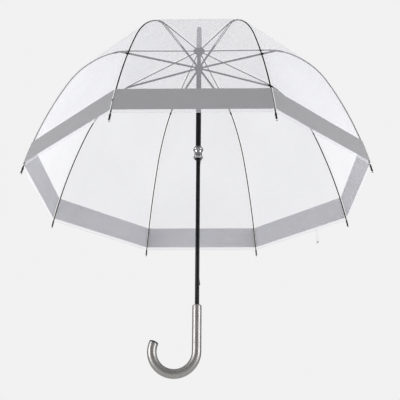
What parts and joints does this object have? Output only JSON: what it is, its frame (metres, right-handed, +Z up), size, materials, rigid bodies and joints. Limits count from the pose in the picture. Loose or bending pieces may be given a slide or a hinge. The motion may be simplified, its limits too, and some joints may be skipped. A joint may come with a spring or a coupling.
{
  "type": "dome umbrella",
  "caption": "Stick umbrella with a deep clear dome canopy, silver border, black folding ribs on a sliding runner, and a crook handle.",
  "frame": {"origin": "on the stick's axis, at the middle of the handle's straight grip", "axes": "+Z up along the stick towards the point, crook open towards -X, ribs at 22.5 degrees and every 45 degrees after that about +Z from +X"},
  "size_m": [0.7818, 0.7818, 0.94],
  "materials": {
    "black_tube": "gloss black lacquer on a steel tube",
    "black_plastic": "moulded black plastic with a soft gloss",
    "black_wire": "satin black coated steel",
    "steel": "plain bright steel",
    "silver_lacquer": "metallic silver-grey lacquer, smooth gloss",
    "dark_end": "dark grey moulded plastic",
    "pewter": "dull bright metal plating",
    "silver_border": "satin silver-grey printed film",
    "clear_film": "clear film with a faint haze, smooth gloss"
  },
  "bodies": {
    "stick": {"shaft": "black_tube", "point": "black_plastic", "crown_cap": "black_plastic", "crown_hub": "black_plastic", "crown_wire": "steel", "crown_rivet": "steel", "handle": "silver_lacquer", "handle_collar": "silver_lacquer", "handle_end_cap": "dark_end", "border_band": "silver_border"},
    "runner": {"runner_hub": "black_plastic", "runner_wire": "steel", "runner_tube": "black_tube", "runner_grip": "pewter"},
    "open_catch": {"open_catch": "steel"},
    "closed_catch": {"closed_catch": "steel"},
    "rib_inner_1": {"rib_inner_1": "black_wire", "canopy_panel_1": "clear_film"},
    "rib_middle_1": {"rib_middle_1": "black_wire"},
    "rib_outer_1": {"rib_outer_1": "black_wire", "tie_strap": "clear_film"},
    "stretcher_1": {"stretcher_1": "black_wire"},
    "rib_inner_2": {"rib_inner_2": "black_wire", "canopy_panel_2": "clear_film"},
    "rib_middle_2": {"rib_middle_2": "black_wire"},
    "rib_outer_2": {"rib_outer_2": "black_wire"},
    "stretcher_2": {"stretcher_2": "black_wire"},
    "rib_inner_3": {"rib_inner_3": "black_wire", "canopy_panel_3": "clear_film"},
    "rib_middle_3": {"rib_middle_3": "black_wire"},
    "rib_outer_3": {"rib_outer_3": "black_wire"},
    "stretcher_3": {"stretcher_3": "black_wire"},
    "rib_inner_4": {"rib_inner_4": "black_wire", "canopy_panel_4": "clear_film"},
    "rib_middle_4": {"rib_middle_4": "black_wire"},
    "rib_outer_4": {"rib_outer_4": "black_wire"},
    "stretcher_4": {"stretcher_4": "black_wire"},
    "rib_inner_5": {"rib_inner_5": "black_wire", "canopy_panel_5": "clear_film"},
    "rib_middle_5": {"rib_middle_5": "black_wire"},
    "rib_outer_5": {"rib_outer_5": "black_wire"},
    "stretcher_5": {"stretcher_5": "black_wire"},
    "rib_inner_6": {"rib_inner_6": "black_wire", "canopy_panel_6": "clear_film"},
    "rib_middle_6": {"rib_middle_6": "black_wire"},
    "rib_outer_6": {"rib_outer_6": "black_wire"},
    "stretcher_6": {"stretcher_6": "black_wire"},
    "rib_inner_7": {"rib_inner_7": "black_wire", "canopy_panel_7": "clear_film"},
    "rib_middle_7": {"rib_middle_7": "black_wire"},
    "rib_outer_7": {"rib_outer_7": "black_wire"},
    "stretcher_7": {"stretcher_7": "black_wire"},
    "rib_inner_8": {"rib_inner_8": "black_wire", "canopy_panel_8": "clear_film"},
    "rib_middle_8": {"rib_middle_8": "black_wire"},
    "rib_outer_8": {"rib_outer_8": "black_wire"},
    "stretcher_8": {"stretcher_8": "black_wire"}
  },
  "joints": [
    {"name": "runner_slide", "type": "slide", "parent": "stick", "child": "runner", "axis": [0, 0, -1], "range_m": [0, 0.3633], "deforming": ["border_band"]},
    {"name": "open_catch_press", "type": "hinge", "parent": "stick", "child": "open_catch", "pos_m": [0.0028, 0, 0.3994], "axis": [0, -1, 0], "range_deg": [0, 8], "stiffness_Nm_per_rad": 0.4, "deforming": ["open_catch"]},
    {"name": "closed_catch_press", "type": "hinge", "parent": "stick", "child": "closed_catch", "pos_m": [0.0028, 0, 0.119], "axis": [0, 1, 0], "range_deg": [0, 8], "stiffness_Nm_per_rad": 0.4, "deforming": ["closed_catch"]},
    {"name": "rib_1_fold", "type": "hinge", "parent": "stick", "child": "rib_inner_1", "pos_m": [0.00739, 0.00306, 0.745], "axis": [-0.3827, 0.9239, 0], "range_deg": [0, 67.05], "deforming": ["canopy_panel_1"]},
    {"name": "rib_1_flex_1", "type": "hinge", "parent": "rib_inner_1", "child": "rib_middle_1", "pos_m": [0.23421, 0.09701, 0.66449], "axis": [-0.3827, 0.9239, 0], "range_deg": [-29.05, 0]},
    {"name": "rib_1_flex_2", "type": "hinge", "parent": "rib_middle_1", "child": "rib_outer_1", "pos_m": [0.3099, 0.12836, 0.56511], "axis": [-0.3827, 0.9239, 0], "range_deg": [-22.05, 0], "deforming": ["tie_strap"]},
    {"name": "stretcher_1_fold", "type": "hinge", "parent": "runner", "child": "stretcher_1", "pos_m": [0.00739, 0.00306, 0.692], "axis": [-0.3827, 0.9239, 0], "range_deg": [-83.59, 0]},
    {"name": "rib_2_fold", "type": "hinge", "parent": "stick", "child": "rib_inner_2", "pos_m": [0.00306, 0.00739, 0.745], "axis": [-0.9239, 0.3827, 0], "range_deg": [0, 67.05], "deforming": ["canopy_panel_2"]},
    {"name": "rib_2_flex_1", "type": "hinge", "parent": "rib_inner_2", "child": "rib_middle_2", "pos_m": [0.09701, 0.23421, 0.66449], "axis": [-0.9239, 0.3827, 0], "range_deg": [-29.05, 0]},
    {"name": "rib_2_flex_2", "type": "hinge", "parent": "rib_middle_2", "child": "rib_outer_2", "pos_m": [0.12836, 0.3099, 0.56511], "axis": [-0.9239, 0.3827, 0], "range_deg": [-22.05, 0]},
    {"name": "stretcher_2_fold", "type": "hinge", "parent": "runner", "child": "stretcher_2", "pos_m": [0.00306, 0.00739, 0.692], "axis": [-0.9239, 0.3827, 0], "range_deg": [-83.59, 0]},
    {"name": "rib_3_fold", "type": "hinge", "parent": "stick", "child": "rib_inner_3", "pos_m": [-0.00306, 0.00739, 0.745], "axis": [-0.9239, -0.3827, 0], "range_deg": [0, 67.05], "deforming": ["canopy_panel_3"]},
    {"name": "rib_3_flex_1", "type": "hinge", "parent": "rib_inner_3", "child": "rib_middle_3", "pos_m": [-0.09701, 0.23421, 0.66449], "axis": [-0.9239, -0.3827, 0], "range_deg": [-29.05, 0]},
    {"name": "rib_3_flex_2", "type": "hinge", "parent": "rib_middle_3", "child": "rib_outer_3", "pos_m": [-0.12836, 0.3099, 0.56511], "axis": [-0.9239, -0.3827, 0], "range_deg": [-22.05, 0]},
    {"name": "stretcher_3_fold", "type": "hinge", "parent": "runner", "child": "stretcher_3", "pos_m": [-0.00306, 0.00739, 0.692], "axis": [-0.9239, -0.3827, 0], "range_deg": [-83.59, 0]},
    {"name": "rib_4_fold", "type": "hinge", "parent": "stick", "child": "rib_inner_4", "pos_m": [-0.00739, 0.00306, 0.745], "axis": [-0.3827, -0.9239, 0], "range_deg": [0, 67.05], "deforming": ["canopy_panel_4"]},
    {"name": "rib_4_flex_1", "type": "hinge", "parent": "rib_inner_4", "child": "rib_middle_4", "pos_m": [-0.23421, 0.09701, 0.66449], "axis": [-0.3827, -0.9239, 0], "range_deg": [-29.05, 0]},
    {"name": "rib_4_flex_2", "type": "hinge", "parent": "rib_middle_4", "child": "rib_outer_4", "pos_m": [-0.3099, 0.12836, 0.56511], "axis": [-0.3827, -0.9239, 0], "range_deg": [-22.05, 0]},
    {"name": "stretcher_4_fold", "type": "hinge", "parent": "runner", "child": "stretcher_4", "pos_m": [-0.00739, 0.00306, 0.692], "axis": [-0.3827, -0.9239, 0], "range_deg": [-83.59, 0]},
    {"name": "rib_5_fold", "type": "hinge", "parent": "stick", "child": "rib_inner_5", "pos_m": [-0.00739, -0.00306, 0.745], "axis": [0.3827, -0.9239, 0], "range_deg": [0, 67.05], "deforming": ["canopy_panel_5"]},
    {"name": "rib_5_flex_1", "type": "hinge", "parent": "rib_inner_5", "child": "rib_middle_5", "pos_m": [-0.23421, -0.09701, 0.66449], "axis": [0.3827, -0.9239, 0], "range_deg": [-29.05, 0]},
    {"name": "rib_5_flex_2", "type": "hinge", "parent": "rib_middle_5", "child": "rib_outer_5", "pos_m": [-0.3099, -0.12836, 0.56511], "axis": [0.3827, -0.9239, 0], "range_deg": [-22.05, 0]},
    {"name": "stretcher_5_fold", "type": "hinge", "parent": "runner", "child": "stretcher_5", "pos_m": [-0.00739, -0.00306, 0.692], "axis": [0.3827, -0.9239, 0], "range_deg": [-83.59, 0]},
    {"name": "rib_6_fold", "type": "hinge", "parent": "stick", "child": "rib_inner_6", "pos_m": [-0.00306, -0.00739, 0.745], "axis": [0.9239, -0.3827, 0], "range_deg": [0, 67.05], "deforming": ["canopy_panel_6"]},
    {"name": "rib_6_flex_1", "type": "hinge", "parent": "rib_inner_6", "child": "rib_middle_6", "pos_m": [-0.09701, -0.23421, 0.66449], "axis": [0.9239, -0.3827, 0], "range_deg": [-29.05, 0]},
    {"name": "rib_6_flex_2", "type": "hinge", "parent": "rib_middle_6", "child": "rib_outer_6", "pos_m": [-0.12836, -0.3099, 0.56511], "axis": [0.9239, -0.3827, 0], "range_deg": [-22.05, 0]},
    {"name": "stretcher_6_fold", "type": "hinge", "parent": "runner", "child": "stretcher_6", "pos_m": [-0.00306, -0.00739, 0.692], "axis": [0.9239, -0.3827, 0], "range_deg": [-83.59, 0]},
    {"name": "rib_7_fold", "type": "hinge", "parent": "stick", "child": "rib_inner_7", "pos_m": [0.00306, -0.00739, 0.745], "axis": [0.9239, 0.3827, 0], "range_deg": [0, 67.05], "deforming": ["canopy_panel_7"]},
    {"name": "rib_7_flex_1", "type": "hinge", "parent": "rib_inner_7", "child": "rib_middle_7", "pos_m": [0.09701, -0.23421, 0.66449], "axis": [0.9239, 0.3827, 0], "range_deg": [-29.05, 0]},
    {"name": "rib_7_flex_2", "type": "hinge", "parent": "rib_middle_7", "child": "rib_outer_7", "pos_m": [0.12836, -0.3099, 0.56511], "axis": [0.9239, 0.3827, 0], "range_deg": [-22.05, 0]},
    {"name": "stretcher_7_fold", "type": "hinge", "parent": "runner", "child": "stretcher_7", "pos_m": [0.00306, -0.00739, 0.692], "axis": [0.9239, 0.3827, 0], "range_deg": [-83.59, 0]},
    {"name": "rib_8_fold", "type": "hinge", "parent": "stick", "child": "rib_inner_8", "pos_m": [0.00739, -0.00306, 0.745], "axis": [0.3827, 0.9239, 0], "range_deg": [0, 67.05], "deforming": ["canopy_panel_8"]},
    {"name": "rib_8_flex_1", "type": "hinge", "parent": "rib_inner_8", "child": "rib_middle_8", "pos_m": [0.23421, -0.09701, 0.66449], "axis": [0.3827, 0.9239, 0], "range_deg": [-29.05, 0]},
    {"name": "rib_8_flex_2", "type": "hinge", "parent": "rib_middle_8", "child": "rib_outer_8", "pos_m": [0.3099, -0.12836, 0.56511], "axis": [0.3827, 0.9239, 0], "range_deg": [-22.05, 0]},
    {"name": "stretcher_8_fold", "type": "hinge", "parent": "runner", "child": "stretcher_8", "pos_m": [0.00739, -0.00306, 0.692], "axis": [0.3827, 0.9239, 0], "range_deg": [-83.59, 0]}
  ],
  "couplings": [
    {"joint": "rib_1_fold", "follows": "runner_slide", "rad_per_m": 3.2187},
    {"joint": "rib_1_flex_1", "follows": "runner_slide", "rad_per_m": -1.3932},
    {"joint": "rib_1_flex_2", "follows": "runner_slide", "rad_per_m": -1.0569},
    {"joint": "stretcher_1_fold", "follows": "runner_slide", "rad_per_m": -4.0134},
    {"joint": "rib_2_fold", "follows": "runner_slide", "rad_per_m": 3.2187},
    {"joint": "rib_2_flex_1", "follows": "runner_slide", "rad_per_m": -1.3932},
    {"joint": "rib_2_flex_2", "follows": "runner_slide", "rad_per_m": -1.0569},
    {"joint": "stretcher_2_fold", "follows": "runner_slide", "rad_per_m": -4.0134},
    {"joint": "rib_3_fold", "follows": "runner_slide", "rad_per_m": 3.2187},
    {"joint": "rib_3_flex_1", "follows": "runner_slide", "rad_per_m": -1.3932},
    {"joint": "rib_3_flex_2", "follows": "runner_slide", "rad_per_m": -1.0569},
    {"joint": "stretcher_3_fold", "follows": "runner_slide", "rad_per_m": -4.0134},
    {"joint": "rib_4_fold", "follows": "runner_slide", "rad_per_m": 3.2187},
    {"joint": "rib_4_flex_1", "follows": "runner_slide", "rad_per_m": -1.3932},
    {"joint": "rib_4_flex_2", "follows": "runner_slide", "rad_per_m": -1.0569},
    {"joint": "stretcher_4_fold", "follows": "runner_slide", "rad_per_m": -4.0134},
    {"joint": "rib_5_fold", "follows": "runner_slide", "rad_per_m": 3.2187},
    {"joint": "rib_5_flex_1", "follows": "runner_slide", "rad_per_m": -1.3932},
    {"joint": "rib_5_flex_2", "follows": "runner_slide", "rad_per_m": -1.0569},
    {"joint": "stretcher_5_fold", "follows": "runner_slide", "rad_per_m": -4.0134},
    {"joint": "rib_6_fold", "follows": "runner_slide", "rad_per_m": 3.2187},
    {"joint": "rib_6_flex_1", "follows": "runner_slide", "rad_per_m": -1.3932},
    {"joint": "rib_6_flex_2", "follows": "runner_slide", "rad_per_m": -1.0569},
    {"joint": "stretcher_6_fold", "follows": "runner_slide", "rad_per_m": -4.0134},
    {"joint": "rib_7_fold", "follows": "runner_slide", "rad_per_m": 3.2187},
    {"joint": "rib_7_flex_1", "follows": "runner_slide", "rad_per_m": -1.3932},
    {"joint": "rib_7_flex_2", "follows": "runner_slide", "rad_per_m": -1.0569},
    {"joint": "stretcher_7_fold", "follows": "runner_slide", "rad_per_m": -4.0134},
    {"joint": "rib_8_fold", "follows": "runner_slide", "rad_per_m": 3.2187},
    {"joint": "rib_8_flex_1", "follows": "runner_slide", "rad_per_m": -1.3932},
    {"joint": "rib_8_flex_2", "follows": "runner_slide", "rad_per_m": -1.0569},
    {"joint": "stretcher_8_fold", "follows": "runner_slide", "rad_per_m": -4.0134}
  ]
}
